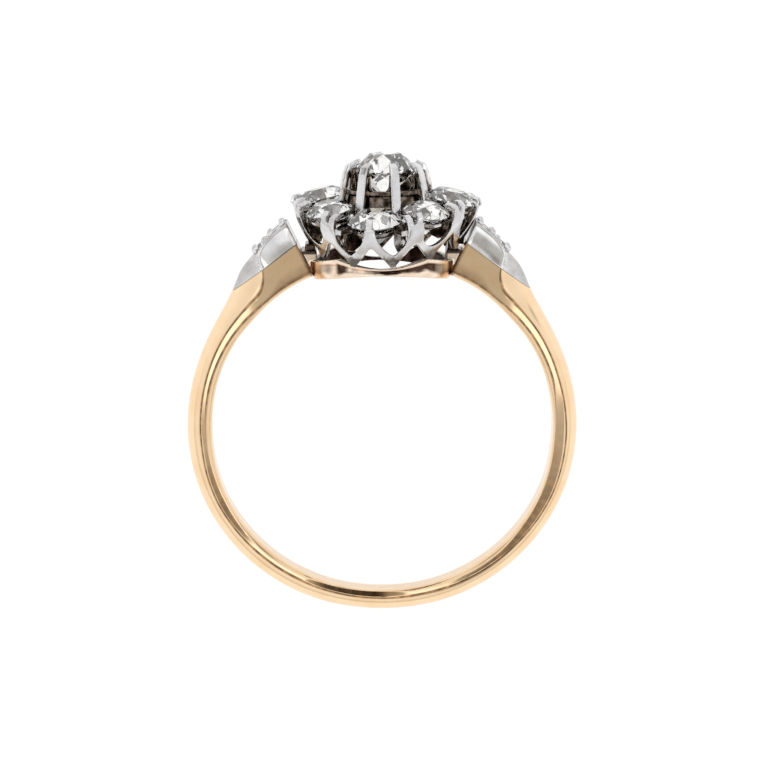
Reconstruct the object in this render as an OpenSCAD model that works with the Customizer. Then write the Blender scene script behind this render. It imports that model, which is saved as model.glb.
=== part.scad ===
// Cluster ring: a gold hoop with boxed, platinum topped shoulders, a rose gold gallery base,
// and a pierced platinum coronet holding eight old cut diamonds round a raised centre diamond.
//
// Each piece is drawn upright: X to the right, Y along the finger (the front is -Y), Z up to the
// head, with the origin at the centre of the finger hole. lay_down() then tips the whole ring on
// to its side, where it rests on the cluster and on the far rim of the hoop, head towards +Y.

/* [Hoop] */
// Inside diameter of the hoop, measured from side to side
finger_d = 17; // [16.6:0.1:17.4]
// Width of the hoop at the back of the finger
hoop_w = 1.8; // [1.6:0.1:2.2]
// Radial thickness of the hoop at the back of the finger
hoop_t = 1.08; // [1:0.02:1.2]
// Width of the flat sided shoulders beside the cluster
shoulder_w = 2.44; // [2.2:0.02:2.8]
// How far the rounded inner edges of the hoop run in from each side
edge_run = 0.38; // [0.2:0.02:0.5]
// How far the rounded inner edges run up each side
edge_rise = 0.24; // [0.16:0.02:0.3]
// Angle from the back of the hoop to the end face of each shoulder
shoulder_end = 154.5; // [152:0.5:155]

/* [Shoulder tops] */
// Height of the seam between gold and platinum at its cluster end
seam_top = 8.55; // [8.45:0.05:8.7]
// Height of the seam where the platinum runs out on the hoop
seam_low = 6.3; // [6.2:0.05:6.5]
// Diameter of the larger diamond on each shoulder
shoulder_stone_d = 1.2; // [1:0.05:1.3]
// Diameter of the smaller diamond on each shoulder
shoulder_small_d = 0.85; // [0.7:0.05:0.9]
// Radius of the platinum beads that hold the shoulder diamonds
bead_r = 0.17; // [0.12:0.01:0.2]

/* [Gallery base] */
// Radius of the gallery base at its rim
base_r = 3.85; // [3.7:0.05:4]
// Thickness of the gallery base wall
base_wall = 0.52; // [0.4:0.02:0.7]
// Height of the underside above the centre of the finger hole
base_under = 7.42; // [7.4:0.02:7.6]
// Height of the top of the base's rim, before its front and back are scooped
base_rim = 8.4; // [8.3:0.02:8.44]
// How much lower the rim is beside the shoulders
rim_dip = 0.56; // [0.4:0.02:0.6]

/* [Coronet] */
// Radius of the coronet at the points of its scallops
coronet_foot_r = 3.72; // [3.6:0.02:3.8]
// How much wider the coronet is at the claws
coronet_flare = 0.84; // [0.76:0.02:0.9]
// How much lower the cluster is at its front and back than at its sides
arch_drop = 0.75; // [0.6:0.05:0.8]
// Thickness of the coronet wall
wall_t = 0.3; // [0.26:0.02:0.36]
// Width of the upright bars beside the centre diamond
centre_claw_w = 0.46; // [0.4:0.02:0.5]
// Turn of the coronet about its own axis
cluster_turn = -11; // [-15:0.5:0]
// How far the cluster sits to the right of the middle of the ring
cluster_shift = 0.24; // [0:0.02:0.3]

/* [Diamonds] */
// Diameter of the four outer diamonds at the front, back and sides
main_d = 2.68; // [2.5:0.02:2.7]
// Diameter of the four outer diamonds between them
corner_d = 2.36; // [2.2:0.02:2.4]
// Radius of the circle that the outer diamonds at the front, back and sides stand on
main_ring_r = 3.26; // [3.26:0.01:3.3]
// Radius of the circle that the outer diamonds between them stand on
corner_ring_r = 3.42; // [3.4:0.01:3.44]
// Height of the outer diamonds' girdles at the sides
outer_z = 10.88; // [10.86:0.01:10.92]
// Outward tilt of the outer diamonds
outer_tilt = 13; // [10:1:15]
// Diameter of the centre diamond
centre_d = 3; // [2.8:0.05:3.1]
// Height of the centre diamond's girdle
centre_z = 12.3; // [12.26:0.01:12.34]
// Gap between a diamond and its setting, and between neighbouring pieces
gap = 0.03; // [0.02:0.01:0.05]

/* [Resting place] */
// How far the ring is tipped back from flat as it lies on its side
rest_tilt = 11.42; // [9:0.01:13]
// Height of the centre of the finger hole above the surface
rest_z = 2.72; // [2:0.01:4]
// How far the finger hole's centre is from the middle of the ring's length
rest_y = -1.67; // [-3:0.01:0]

/* [Hidden] */
$fn = 48;

// Rows along half of the hoop, from the back of the finger to the end of the shoulder. Columns:
// angle from the back, inner radius, outer radius, half width, height of the flat side.
ANGLE = 0;
INNER = 1;
OUTER = 2;
HALF_W = 3;
FLAT = 4;
back_r = finger_d / 2;
stations = [
    [0, back_r + 0.27, back_r + 0.27 + hoop_t, hoop_w / 2, 0.5],
    [25, back_r + 0.29, back_r + 1.42, hoop_w / 2 + 0.02, 0.53],
    [45, back_r + 0.28, back_r + 1.43, hoop_w / 2 + 0.06, 0.58],
    [65, back_r + 0.21, back_r + 1.39, hoop_w / 2 + 0.1, 0.66],
    [85, back_r + 0.02, back_r + 1.27, hoop_w / 2 + 0.16, 0.72],
    [105, back_r - 0.14, back_r + 1.09, shoulder_w / 2 - 0.1, 0.7],
    [118, back_r - 0.28, back_r + 1.04, shoulder_w / 2 - 0.05, 0.7],
    [126, back_r - 0.4, back_r + 1.12, shoulder_w / 2 - 0.03, 0.7],
    [131, back_r - 0.45, back_r + 1.3, shoulder_w / 2 - 0.02, 0.7],
    [137, back_r - 0.48, back_r + 1.68, shoulder_w / 2, 0.78],
    [141, back_r - 0.5, back_r + 1.82, shoulder_w / 2, 1.3],
    [144, back_r - 0.52, back_r + 1.94, shoulder_w / 2, 2.3],
    [shoulder_end, back_r - 0.6, back_r + 2.4, shoulder_w / 2, 2.9]
];
last_row = len(stations) - 1;
coarse_step = 8;
fine_steps = 15;
fine_from = 120;
dome_steps = 10;
edge_steps = 2;

// The seam is a plane across the finger, through these two points of the side view.
seam_near_x = 4.45;
seam_far_x = 7.46;
seam_angle = atan2(seam_top - seam_low, seam_far_x - seam_near_x);
plate_from = 126;

// Places of the diamonds along each shoulder, as angles from the back of the hoop.
shoulder_stone_at = 146.4;
shoulder_small_at = 151.6;
stone_sink = 0.2;
shoulder_crown = 0.42;
shoulder_pavilion = 0.8;

// Rows of the pairs of beads on each shoulder. Columns: angle from the back, half the space
// between the two beads, height of their centres above the metal.
bead_rows = [
    [143.4, 0.46, -0.1],
    [146.6, 0.76, -0.2],
    [149.2, 0.5, -0.1],
    [153.1, 0.52, -0.1]
];

// The coronet repeats every thirty degrees: twelve claws, and twelve scallop points between them.
pitch = 30;
wall_low = 8.84;
wall_top = 10.64;
wall_foot_z = 8.9;
wall_step = 7.5;
wall_from = 2;
wall_levels = 2;
arch_apex = 9.6;
arch_round = 0.2;
arch_open = 0.86;
under_r = 14;
scoop_r = 6;
scoop_z = 7.78;
lug_w = 2.1;
lug_top = 8.4;
post_w = 1.5;
post_top = 8.72;
side_window_r = 0.6;
side_window_z = 9.98;
side_window_low = 9.3;
side_window_top = 0.8;
corner_window_r = 0.82;
corner_window_z = 10.12;
corner_window_top = 0.92;
prong_lean = 3.6;
claw_top = 11.03;
centre_claw_t = 0.3;
strut_t = 0.25;

// Rows of the two rings under the centre diamond. Columns: height, inner radius, outer radius, depth.
rails = [
    [10.25, 1.55, 2.36, 0.3],
    [11.2, 1.72, 2.1, 0.22]
];

// Proportions of an old cut diamond, as parts of its girdle radius.
table_part = 0.52;
star_part = 0.74;
culet_part = 0.12;
lower_part = 0.76;
girdle_part = 0.035;
outer_crown = 0.36;
outer_pavilion = 0.9;
centre_crown = 0.56;
centre_pavilion = 0.82;

// Smooth value of one column of the station table at an angle, through every row.
function slope_at(i, c) =
    i == 0 ? 0
    : i == last_row ? (stations[i][c] - stations[i - 1][c]) / (stations[i][ANGLE] - stations[i - 1][ANGLE])
    : (stations[i + 1][c] - stations[i - 1][c]) / (stations[i + 1][ANGLE] - stations[i - 1][ANGLE]);
function row_below(angle) = max([for (i = [0:last_row - 1]) if (stations[i][ANGLE] <= angle) i]);
function along(angle, c) =
    let (
        i = row_below(angle),
        run = stations[i + 1][ANGLE] - stations[i][ANGLE],
        t = (angle - stations[i][ANGLE]) / run
    )
    (2 * pow(t, 3) - 3 * pow(t, 2) + 1) * stations[i][c]
    + (pow(t, 3) - 2 * pow(t, 2) + t) * run * slope_at(i, c)
    + (3 * pow(t, 2) - 2 * pow(t, 3)) * stations[i + 1][c]
    + (pow(t, 3) - pow(t, 2)) * run * slope_at(i + 1, c);

// Cross section of the hoop as [across, radius] points: comfort edge, flat side and domed back.
function hoop_section(angle) =
    let (
        a = abs(angle),
        inner = along(a, INNER),
        half = along(a, HALF_W),
        flat_r = inner + along(a, FLAT),
        crown = along(a, OUTER) - flat_r
    )
    concat(
        [for (k = [0:edge_steps]) let (t = 90 * k / edge_steps)
            [half - edge_run + edge_run * sin(t), inner + edge_rise * (1 - cos(t))]],
        [for (k = [0:dome_steps]) let (t = 180 * k / dome_steps)
            [half * cos(t), flat_r + crown * sin(t)]],
        [for (k = [edge_steps:-1:0]) let (t = 90 * k / edge_steps)
            [-half + edge_run - edge_run * sin(t), inner + edge_rise * (1 - cos(t))]]
    );

function hoop_ring(angle) =
    [for (p = hoop_section(angle)) [p[1] * sin(angle), p[0], -p[1] * cos(angle)]];

// Closed skin over a list of rings with the same number of points each, capped or joined end to end.
module skin(rings, joined = false) {
    n = len(rings[0]);
    m = len(rings);
    caps = joined ? [] : [[for (j = [n - 1:-1:0]) j], [for (j = [0:n - 1]) (m - 1) * n + j]];
    spans = joined ? m - 1 : m - 2;
    polyhedron(
        points = [for (ring = rings) each ring],
        faces = concat(
            caps,
            [for (i = [0:spans], j = [0:n - 1]) [i * n + j, i * n + (j + 1) % n, (i + 1) % m * n + (j + 1) % n]],
            [for (i = [0:spans], j = [0:n - 1]) [i * n + j, (i + 1) % m * n + (j + 1) % n, (i + 1) % m * n + j]]
        )
    );
}

module hoop_sweep(from_angle, to_angle) {
    fine = [for (k = [0:fine_steps]) fine_from + (shoulder_end - fine_from) * k / fine_steps];
    angles = concat(
        [for (k = [fine_steps:-1:0]) -fine[k]],
        [for (a = [-fine_from + coarse_step:coarse_step:fine_from - coarse_step]) a],
        fine
    );
    skin([for (a = angles) if (a >= from_angle && a <= to_angle) hoop_ring(a)]);
}

// Everything above the seam of the right shoulder, moved up by lift.
module above_seam(lift) {
    reach = 8;
    translate([seam_near_x, 0, seam_top])
        rotate([0, seam_angle, 0])
            translate([-reach / 2, -reach / 2, lift])
                cube([reach * 1.5, reach, reach]);
}

// A place on top of the right shoulder, with Z along the shoulder's own outward direction.
module on_shoulder(angle, lift, across = 0) {
    turn = 90 - angle;
    rotate([0, turn, 0])
        translate([along(angle, OUTER) + lift, across, 0])
            rotate([0, 90, 0])
                children();
}

// Old cut diamond: girdle plane at z = 0, table up, culet down.
module diamond(d, crown, pavilion) {
    g = d / 2;
    gt = g * girdle_part;
    hc = g * crown;
    hp = g * pavilion;
    rt = g * table_part;
    rs = g * star_part;
    rh = g * lower_part;
    rc = g * culet_part;
    half = 22.5;
    zs = hc * (g - rs * cos(half)) / (g - rt);
    culet_reach = rc * cos(half);
    zh = -gt - hp * (g - rh * cos(half)) / (g - culet_reach);
    function ring8(r, z, turn) = [for (k = [0:7]) [r * cos(45 * k + turn), r * sin(45 * k + turn), z]];
    function ring16(r, z) = [for (k = [0:15]) [r * cos(half * k), r * sin(half * k), z]];
    table0 = 0;
    star0 = 8;
    up0 = 16;
    down0 = 32;
    low0 = 48;
    culet0 = 56;
    polyhedron(
        points = concat(
            ring8(rt, hc, 0), ring8(rs, zs, half), ring16(g, 0),
            ring16(g, -gt), ring8(rh, zh, half), ring8(rc, -gt - hp, half)
        ),
        faces = concat(
            [[for (k = [7:-1:0]) table0 + k]],
            [for (k = [0:7]) [table0 + k, table0 + (k + 1) % 8, star0 + k]],
            [for (k = [0:7]) [table0 + k, star0 + k, up0 + 2 * k, star0 + (k + 7) % 8]],
            [for (k = [0:7]) [star0 + k, up0 + 2 * k + 1, up0 + 2 * k]],
            [for (k = [0:7]) [star0 + k, up0 + (2 * k + 2) % 16, up0 + 2 * k + 1]],
            [for (k = [0:15]) [up0 + k, up0 + (k + 1) % 16, down0 + (k + 1) % 16, down0 + k]],
            [for (k = [0:7]) [low0 + k, down0 + 2 * k, down0 + 2 * k + 1]],
            [for (k = [0:7]) [low0 + k, down0 + 2 * k + 1, down0 + (2 * k + 2) % 16]],
            [for (k = [0:7]) [low0 + k, culet0 + k, culet0 + (k + 7) % 8, low0 + (k + 7) % 8, down0 + 2 * k]],
            [[for (k = [0:7]) culet0 + k]]
        )
    );
}

function is_corner(k) = k % 2 == 0;
function outer_d(k) = is_corner(k) ? corner_d : main_d;
function outer_ring_r(k) = is_corner(k) ? corner_ring_r : main_ring_r;
function drop(angle) = arch_drop * pow(cos(angle), 2);

// Stands its children where outer diamond k is, with Z out of the table.
module at_outer(k) {
    angle = 45 * (k - 1);
    rotate([0, 0, angle])
        translate([0, -outer_ring_r(k), outer_z - drop(angle)])
            rotate([outer_tilt, 0, 0])
                children();
}

// Radius of the middle of the coronet wall at a height, as measured at the sides.
function wall_r(z) = coronet_foot_r + coronet_flare * sin(90 * min(1, max(0, (z - wall_foot_z) / 2.1)));
function wall_place(angle, z, r) = [r * sin(angle), -r * cos(angle), z - drop(angle)];
function unit(v) = v / norm(v);
function heading(points, i) = unit(points[min(i + 1, len(points) - 1)] - points[max(i - 1, 0)]);

// Flat ribbon along points. facing[i] is roughly out of the ribbon's broad side, widths[i] its width.
module ribbon(points, facing, widths, thickness) {
    rings = [for (i = [0:len(points) - 1])
        let (
            t = heading(points, i),
            b = unit(cross(t, facing[i])) * widths[i] / 2,
            n = unit(cross(b, t)) * thickness / 2
        )
        [points[i] + b + n, points[i] - b + n, points[i] - b - n, points[i] + b - n]];
    skin(rings);
}

// Flared wall of the coronet, before it is pierced.
module wall() {
    levels = [for (k = [0:wall_levels]) wall_low + (wall_top - wall_low) * k / wall_levels];
    skin(
        [for (angle = [wall_from:wall_step:wall_from + 360 - wall_step])
            concat(
                [for (z = levels) wall_place(angle, z, wall_r(z) + wall_t / 2)],
                [for (k = [wall_levels:-1:0]) wall_place(angle, levels[k], wall_r(levels[k]) - wall_t / 2)]
            )],
        joined = true
    );
}

// Cuts outward through the wall at an angle. Its children are drawn flat, X along the wall, Y up.
module pierce(angle) {
    rotate([0, 0, angle])
        translate([0, -2.9, -drop(angle)])
            rotate([90, 0, 0])
                linear_extrude(3)
                    children();
}

module arch_cut() {
    hull() {
        translate([0, arch_apex - arch_round]) circle(r = arch_round, $fn = 8);
        translate([-arch_open, wall_low - 1]) square([arch_open * 2, 1.05]);
    }
}

module side_window() {
    top = wall_top + 1;
    hull() {
        translate([0, side_window_z]) circle(r = side_window_r, $fn = 12);
        translate([0, side_window_low]) circle(r = 0.12, $fn = 12);
    }
    hull() {
        translate([0, side_window_z]) circle(r = side_window_r, $fn = 12);
        translate([-side_window_top, wall_top]) square([2 * side_window_top, top - wall_top]);
    }
}

module corner_window() {
    top = wall_top + 1;
    hull() {
        translate([0, corner_window_z]) circle(r = corner_window_r, $fn = 14);
        translate([-corner_window_top, wall_top]) square([2 * corner_window_top, top - wall_top]);
    }
}

module pierced_wall() {
    difference() {
        wall();
        for (k = [0:11]) pierce(pitch * k) arch_cut();
        for (k = [0:3]) {
            for (side = [-1, 1]) pierce(90 * k + side * 15.6) side_window();
            pierce(90 * k + 45) corner_window();
        }
    }
}

// A claw that bends over the stones: places are [angle, radius, height as measured at the sides].
module claw(places, widths, thickness) {
    points = [for (p = places) wall_place(p[0], p[2], p[1])];
    facing = [for (i = [0:len(points) - 1])
        cross([cos(places[i][0]), sin(places[i][0]), 0], heading(points, i))];
    ribbon(points, facing, widths, thickness);
}

// Two prongs rise from one claw of the coronet, one on to each of the diamonds beside it.
module junction_claw(angle, corner_side) {
    for (side = [-1, 1]) {
        lean = side * prong_lean;
        in_r = side == corner_side ? 4.06 : 4.12;
        claw(
            [[angle + lean * 0.5, wall_r(10.2), 10.2], [angle + lean * 0.7, wall_r(10.6), 10.6],
             [angle + lean, 4.54, 10.9], [angle + lean * 1.2, in_r + 0.2, claw_top], [angle + lean * 1.3, in_r, claw_top]],
            [0.34, 0.32, 0.3, 0.27, 0.2],
            wall_t * 0.9
        );
        hull() {
            translate(wall_place(angle + lean * 1.3, claw_top + 0.01, in_r)) sphere(r = 0.12, $fn = 6);
            translate(wall_place(angle + lean, claw_top - 0.05, in_r + 0.3)) sphere(r = 0.14, $fn = 6);
        }
    }
}

module mid_claw(angle) {
    tip = [4.4, 10.96];
    claw(
        [[angle, wall_r(9.9), 9.9], [angle, wall_r(10.5), 10.5], [angle, 4.7, 10.71],
         [angle, 4.63, 10.88], [angle, tip[0], tip[1]]],
        [0.42, 0.4, 0.38, 0.34, 0.26],
        wall_t * 0.9
    );
    translate(wall_place(angle, tip[1], tip[0])) sphere(r = 0.14, $fn = 6);
}

// Bar that ties the centre to the wall, below the girdles of two neighbouring diamonds.
module strut(angle) {
    claw(
        [[angle, 2.1, 10.52], [angle, 3, 10.42], [angle, 3.5, 10.36], [angle, wall_r(10.3), 10.26]],
        [0.36, 0.8, 0.8, 0.4],
        strut_t
    );
}

// Conical seat under the pavilion of outer diamond k.
module seat(k) {
    top = -0.3;
    low = -0.52;
    difference() {
        translate([0, 0, low]) cylinder(r = outer_d(k) / 2 * 0.86, h = top - low, $fn = 12);
        translate([0, 0, low - 0.3]) cylinder(r = outer_d(k) / 2 * 0.5, h = 1, $fn = 12);
    }
}

// Straight bar beside the centre diamond, bent in over its edge at the top.
module centre_claw(angle) {
    girdle = centre_d / 2;
    places = [[2.43, 9.92], [2.27, 10.9], [2.14, 11.6], [2, 12.2], [girdle + 0.36, 12.51], [girdle + 0.02, 12.65]];
    side = [cos(angle), sin(angle), 0];
    points = [for (p = places) [p[0] * sin(angle), -p[0] * cos(angle), p[1]]];
    ribbon(
        points,
        [for (i = [0:len(points) - 1]) cross(side, heading(points, i))],
        [for (part = [1, 1, 1, 0.96, 0.9, 0.7]) centre_claw_w * part],
        centre_claw_t
    );
}

// The two rings that tie the bars together, below and above the struts.
module centre_rails() {
    for (rail = rails)
        translate([0, 0, rail[0]])
            difference() {
                cylinder(r = rail[2], h = rail[3], $fn = 20);
                translate([0, 0, -rail[3]]) cylinder(r = rail[1], h = rail[3] * 3, $fn = 20);
            }
}

module centre_diamond(extra = 0) {
    translate([0, 0, centre_z]) diamond(centre_d + 2 * extra, centre_crown, centre_pavilion);
}

module outer_diamond(k, extra = 0) {
    at_outer(k) diamond(outer_d(k) + 2 * extra, outer_crown, outer_pavilion);
}

// Turns the cluster about its own axis and sets it a little to one side.
module place_cluster() {
    translate([cluster_shift, 0, 0])
        rotate([0, 0, cluster_turn])
            children();
}

// Tips the upright ring on to its side.
module lay_down() {
    translate([0, rest_y, rest_z])
        rotate([rest_tilt - 90, 0, 0])
            children();
}

module mirrored(side) {
    if (side == "left") mirror([1, 0, 0]) children();
    else children();
}

function shoulder_size(k) = k == 1 ? shoulder_stone_d : shoulder_small_d;

module shoulder_diamond(k, extra = 0) {
    on_shoulder(k == 1 ? shoulder_stone_at : shoulder_small_at, -stone_sink)
        diamond(shoulder_size(k) + 2 * extra, shoulder_crown, shoulder_pavilion);
}

// Drilled seats of the two diamonds on the right shoulder.
module shoulder_seats() {
    for (k = [1, 2])
        on_shoulder(k == 1 ? shoulder_stone_at : shoulder_small_at, -stone_sink) {
            seat_r = shoulder_size(k) / 2 + gap;
            translate([0, 0, -shoulder_size(k) * 0.6]) cylinder(r = seat_r * 0.66, h = 2, $fn = 12);
            translate([0, 0, -shoulder_size(k) * 0.24]) cylinder(r = seat_r, h = 2, $fn = 16);
        }
}

module shank() {
    color("#e3bf8a")
        lay_down()
            difference() {
                hoop_sweep(-shoulder_end, shoulder_end);
                for (side = ["left", "right"])
                    mirrored(side) {
                        above_seam(0);
                        shoulder_seats();
                    }
            }
}

module shoulder_plate(side) {
    color("#d4d6da")
        lay_down()
            mirrored(side) {
                difference() {
                    intersection() {
                        hoop_sweep(plate_from, shoulder_end);
                        above_seam(gap);
                    }
                    shoulder_seats();
                }
                difference() {
                    for (row = bead_rows, end = [-1, 1])
                        on_shoulder(row[0], row[2], end * row[1]) sphere(r = bead_r, $fn = 8);
                    for (k = [1, 2]) shoulder_diamond(k, gap);
                }
            }
}

module shoulder_stone(side, k) {
    color("#eef2f6")
        lay_down()
            mirrored(side) shoulder_diamond(k);
}

// Everything beyond the plane of the right shoulder's end face, less a gap.
module beyond_end() {
    reach = 12;
    rotate([0, 180 - shoulder_end, 0])
        translate([-gap, -reach / 2, 0])
            cube([reach, reach, reach * 1.5]);
}

module gallery_base() {
    foot_r = base_r - 0.36;
    low = 6.8;
    high = 9.2;
    rim_r = pow(base_r, 2) / (2 * rim_dip);
    color("#dda27c")
        lay_down()
            difference() {
                union() {
                    intersection() {
                        rotate_extrude()
                            polygon([
                                [foot_r - base_wall, low], [foot_r, low],
                                [base_r, high], [base_r - base_wall, high]
                            ]);
                        translate([0, 0, base_rim - rim_r])
                            rotate([90, 0, 0]) cylinder(r = rim_r, h = 12, center = true, $fn = 96);
                    }
                    for (side = ["left", "right"])
                        mirrored(side) {
                            translate([3.2, -lug_w / 2, low]) cube([1.2, lug_w, lug_top - low]);
                            translate([3.28, -post_w / 2, low]) cube([0.5, post_w, post_top - low]);
                        }
                }
                translate([0, 0, base_under - under_r])
                    rotate([90, 0, 0]) cylinder(r = under_r, h = 12, center = true, $fn = 96);
                translate([0, 0, scoop_z + scoop_r])
                    rotate([90, 0, 0]) cylinder(r = scoop_r, h = 12, center = true, $fn = 96);
                for (side = ["left", "right"]) mirrored(side) beyond_end();
            }
}

module cluster_setting() {
    color("#cfd1d4")
        lay_down()
            place_cluster()
                difference() {
                    union() {
                        pierced_wall();
                        for (k = [0:3]) {
                            mid_claw(90 * k);
                            junction_claw(90 * k + 28, 1);
                            junction_claw(90 * k - 28, -1);
                        }
                        for (k = [0:7]) {
                            strut(22.5 + 45 * k);
                            centre_claw(22.5 + 45 * k);
                            at_outer(k + 1) seat(k + 1);
                        }
                        centre_rails();
                    }
                    for (k = [1:8]) outer_diamond(k, gap);
                    centre_diamond(gap);
                }
}

module centre_stone() {
    color("#f2f5f8") lay_down() place_cluster() centre_diamond();
}

module outer_stone(k) {
    color("#eef2f6") lay_down() place_cluster() outer_diamond(k);
}

shank();
gallery_base();
cluster_setting();
centre_stone();
for (side = ["left", "right"]) {
    shoulder_plate(side);
    for (k = [1, 2])
        shoulder_stone(side, k);
}
for (k = [1:8])
    outer_stone(k);
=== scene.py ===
import math

import bmesh
import bpy
import numpy as np
from mathutils import Matrix, Vector


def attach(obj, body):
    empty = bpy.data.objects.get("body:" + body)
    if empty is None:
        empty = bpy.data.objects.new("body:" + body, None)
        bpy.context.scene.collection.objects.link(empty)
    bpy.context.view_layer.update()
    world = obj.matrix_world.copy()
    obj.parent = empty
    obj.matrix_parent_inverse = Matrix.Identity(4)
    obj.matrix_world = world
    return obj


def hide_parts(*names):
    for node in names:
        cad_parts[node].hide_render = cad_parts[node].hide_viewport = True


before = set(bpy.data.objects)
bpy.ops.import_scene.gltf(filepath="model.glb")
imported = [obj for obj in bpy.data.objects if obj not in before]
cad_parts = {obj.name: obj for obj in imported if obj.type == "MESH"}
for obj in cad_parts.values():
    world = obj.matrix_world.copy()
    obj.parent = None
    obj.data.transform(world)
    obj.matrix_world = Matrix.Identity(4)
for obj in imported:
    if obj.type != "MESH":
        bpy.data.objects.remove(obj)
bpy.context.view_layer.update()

# Sizes are in millimetres, on the ring as it stands upright: X to the right, Y along the finger
# with the front at -Y, Z up to the head, and the origin at the centre of the finger hole.
MM = 0.001
REST_TILT = 11.42
REST_Y = -1.67
REST_Z = 2.72
CLUSTER_TURN = -11
CLUSTER_SHIFT = 0.24

BACK_R = 8.5
HOOP_HALF_W = 0.9
SHOULDER_HALF_W = 1.22
SHOULDER_END = 154.5
EDGE_RUN = 0.38

# Rows along half of the hoop: angle from the back, inner radius, outer radius, half width,
# height of the flat side.
STATIONS = [
    (0, BACK_R + 0.27, BACK_R + 1.35, HOOP_HALF_W, 0.5),
    (25, BACK_R + 0.29, BACK_R + 1.42, HOOP_HALF_W + 0.02, 0.53),
    (45, BACK_R + 0.28, BACK_R + 1.43, HOOP_HALF_W + 0.06, 0.58),
    (65, BACK_R + 0.21, BACK_R + 1.39, HOOP_HALF_W + 0.1, 0.66),
    (85, BACK_R + 0.02, BACK_R + 1.27, HOOP_HALF_W + 0.16, 0.72),
    (105, BACK_R - 0.14, BACK_R + 1.09, SHOULDER_HALF_W - 0.1, 0.7),
    (118, BACK_R - 0.28, BACK_R + 1.04, SHOULDER_HALF_W - 0.05, 0.7),
    (126, BACK_R - 0.4, BACK_R + 1.12, SHOULDER_HALF_W - 0.03, 0.7),
    (131, BACK_R - 0.45, BACK_R + 1.3, SHOULDER_HALF_W - 0.02, 0.7),
    (137, BACK_R - 0.48, BACK_R + 1.68, SHOULDER_HALF_W, 0.78),
    (141, BACK_R - 0.5, BACK_R + 1.82, SHOULDER_HALF_W, 1.3),
    (144, BACK_R - 0.52, BACK_R + 1.94, SHOULDER_HALF_W, 2.3),
    (SHOULDER_END, BACK_R - 0.6, BACK_R + 2.4, SHOULDER_HALF_W, 2.9),
]
INNER, OUTER, HALF_W, FLAT = 1, 2, 3, 4

SEAM_NEAR = (4.45, 8.55)
SEAM_FAR = (7.46, 6.3)
SEAM_GAP = 0.012
PLATE_FROM = 126
# The side of the right plate is hollow and that of the left one leans in towards the gold.
HOLLOW_DEPTH = 0.17
LEAN_DEPTH = 0.36
LEAN_BEND = 1.7
# Grey painted as shade on the outward-facing tops of the plates.
TOP_SHADE = 0.36
STONE_SINK = 0.2
# Rows of the diamonds on each shoulder: angle from the back, diameter.
SHOULDER_STONES = [(146.4, 1.2), (151.6, 0.85)]
STONE_ROOM = 0.03
# Rows of the pairs of beads: angle from the back, half the space between them, height.
BEAD_ROWS = [(143.4, 0.46, 0.05), (146.6, 0.78, -0.07), (149.2, 0.5, 0.05), (153.1, 0.52, 0.03)]
BEAD_R = 0.19
# The fine grains along the plates' upper edges: first angle, last angle, pitch in degrees.
GRAIN_RUN = (139.5, 154.2, 0.82)
GRAIN_R = 0.085
GRAIN_CLEAR = 0.14

BASE_R = 3.85
BASE_WALL = 0.52
BASE_FOOT_IN = 0.36
BASE_UNDER = 7.42
BASE_RIM = 8.4
RIM_DIP = 0.56
# How much lower the middle of the rim is filed at the back.
RIM_FILED = 0.22
SCOOP_R = 6
SCOOP_Z = 7.78
UNDER_R = 14
BASE_HOLLOW = 0.13
BASE_LEVELS = 9
# Rows of the lugs at each end of the base: half depth, inner end, outer end, height of the top.
LUGS = [(1.05, 3.2, 4.4, 8.4), (0.75, 3.28, 3.78, 8.72)]
LUG_FOOT = 6.9
END_GAP = 0.03
# Rows of the dark patches along the front of the base: middle, half length, strength.
DARK_PATCHES = [
    (-2.85, 0.4, 0.45), (-1.95, 0.3, 0.7), (-1.35, 0.2, 0.45), (-0.55, 0.35, 0.45), (0.5, 0.75, 0.9),
    (1.9, 0.75, 0.75),
]
BASE_LOW = 6.8
BASE_HIGH = 9.2

WALL_LOW = 8.6
WALL_TOP = 10.64
WALL_T = 0.3
WALL_FOOT_R = 3.72
WALL_FLARE = 0.84
WALL_FOOT_Z = 8.9
ARCH_DROP = 0.75
# The windows are cut from inside the wall to outside it.
CUT_FROM = 2.9
CUT_TO = 5.9
# The outer diamonds, in the corners and at the front, back and sides: diameter, ring's radius.
CORNER_STONE = (2.36, 3.42)
MAIN_STONE = (2.68, 3.26)
STONE_Z = 10.88
STONE_TILT = 13
GIRDLE_R = 1.5
GIRDLE_Z = 12.65
# Rows of the bars beside the centre stone, from their feet up: radius, height.
CENTRE_BAR = [(2.43, 9.92), (2.27, 10.9), (2.14, 11.6), (2.0, 12.2)]
# The share of the coronet's triangles that is kept.
THINNED_TO = 0.46

# Steps round a ring, for the base and the coronet's wall.
RING_STEPS = 240
# How the parts of a piece are melted together: size of the voxels, rounds of polish.
PLATE_MELT = (0.026, 2)
BASE_MELT = (0.045, 4)
CORONET_MELT = (0.042, 3)
# Metal stops this far from a stone, and only places this near its middle are tested, in metres.
STONE_GAP = 0.00002
STONE_REACH = 0.0022


def laid(points):
    """Places in the frame, in metres, of points on the upright ring."""
    turn = math.radians(REST_TILT - 90)
    c, s = math.cos(turn), math.sin(turn)
    x, y, z = np.asarray(points, float).T
    return np.stack([x, REST_Y + y * c - z * s, REST_Z + y * s + z * c], axis=1) * MM


def cluster_placed(points):
    """Points of the cluster, turned about its own axis and set a little to the right."""
    a = math.radians(CLUSTER_TURN)
    c, s = math.cos(a), math.sin(a)
    x, y, z = np.asarray(points, float).T
    return np.stack([CLUSTER_SHIFT + x * c - y * s, x * s + y * c, z], axis=1)


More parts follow.
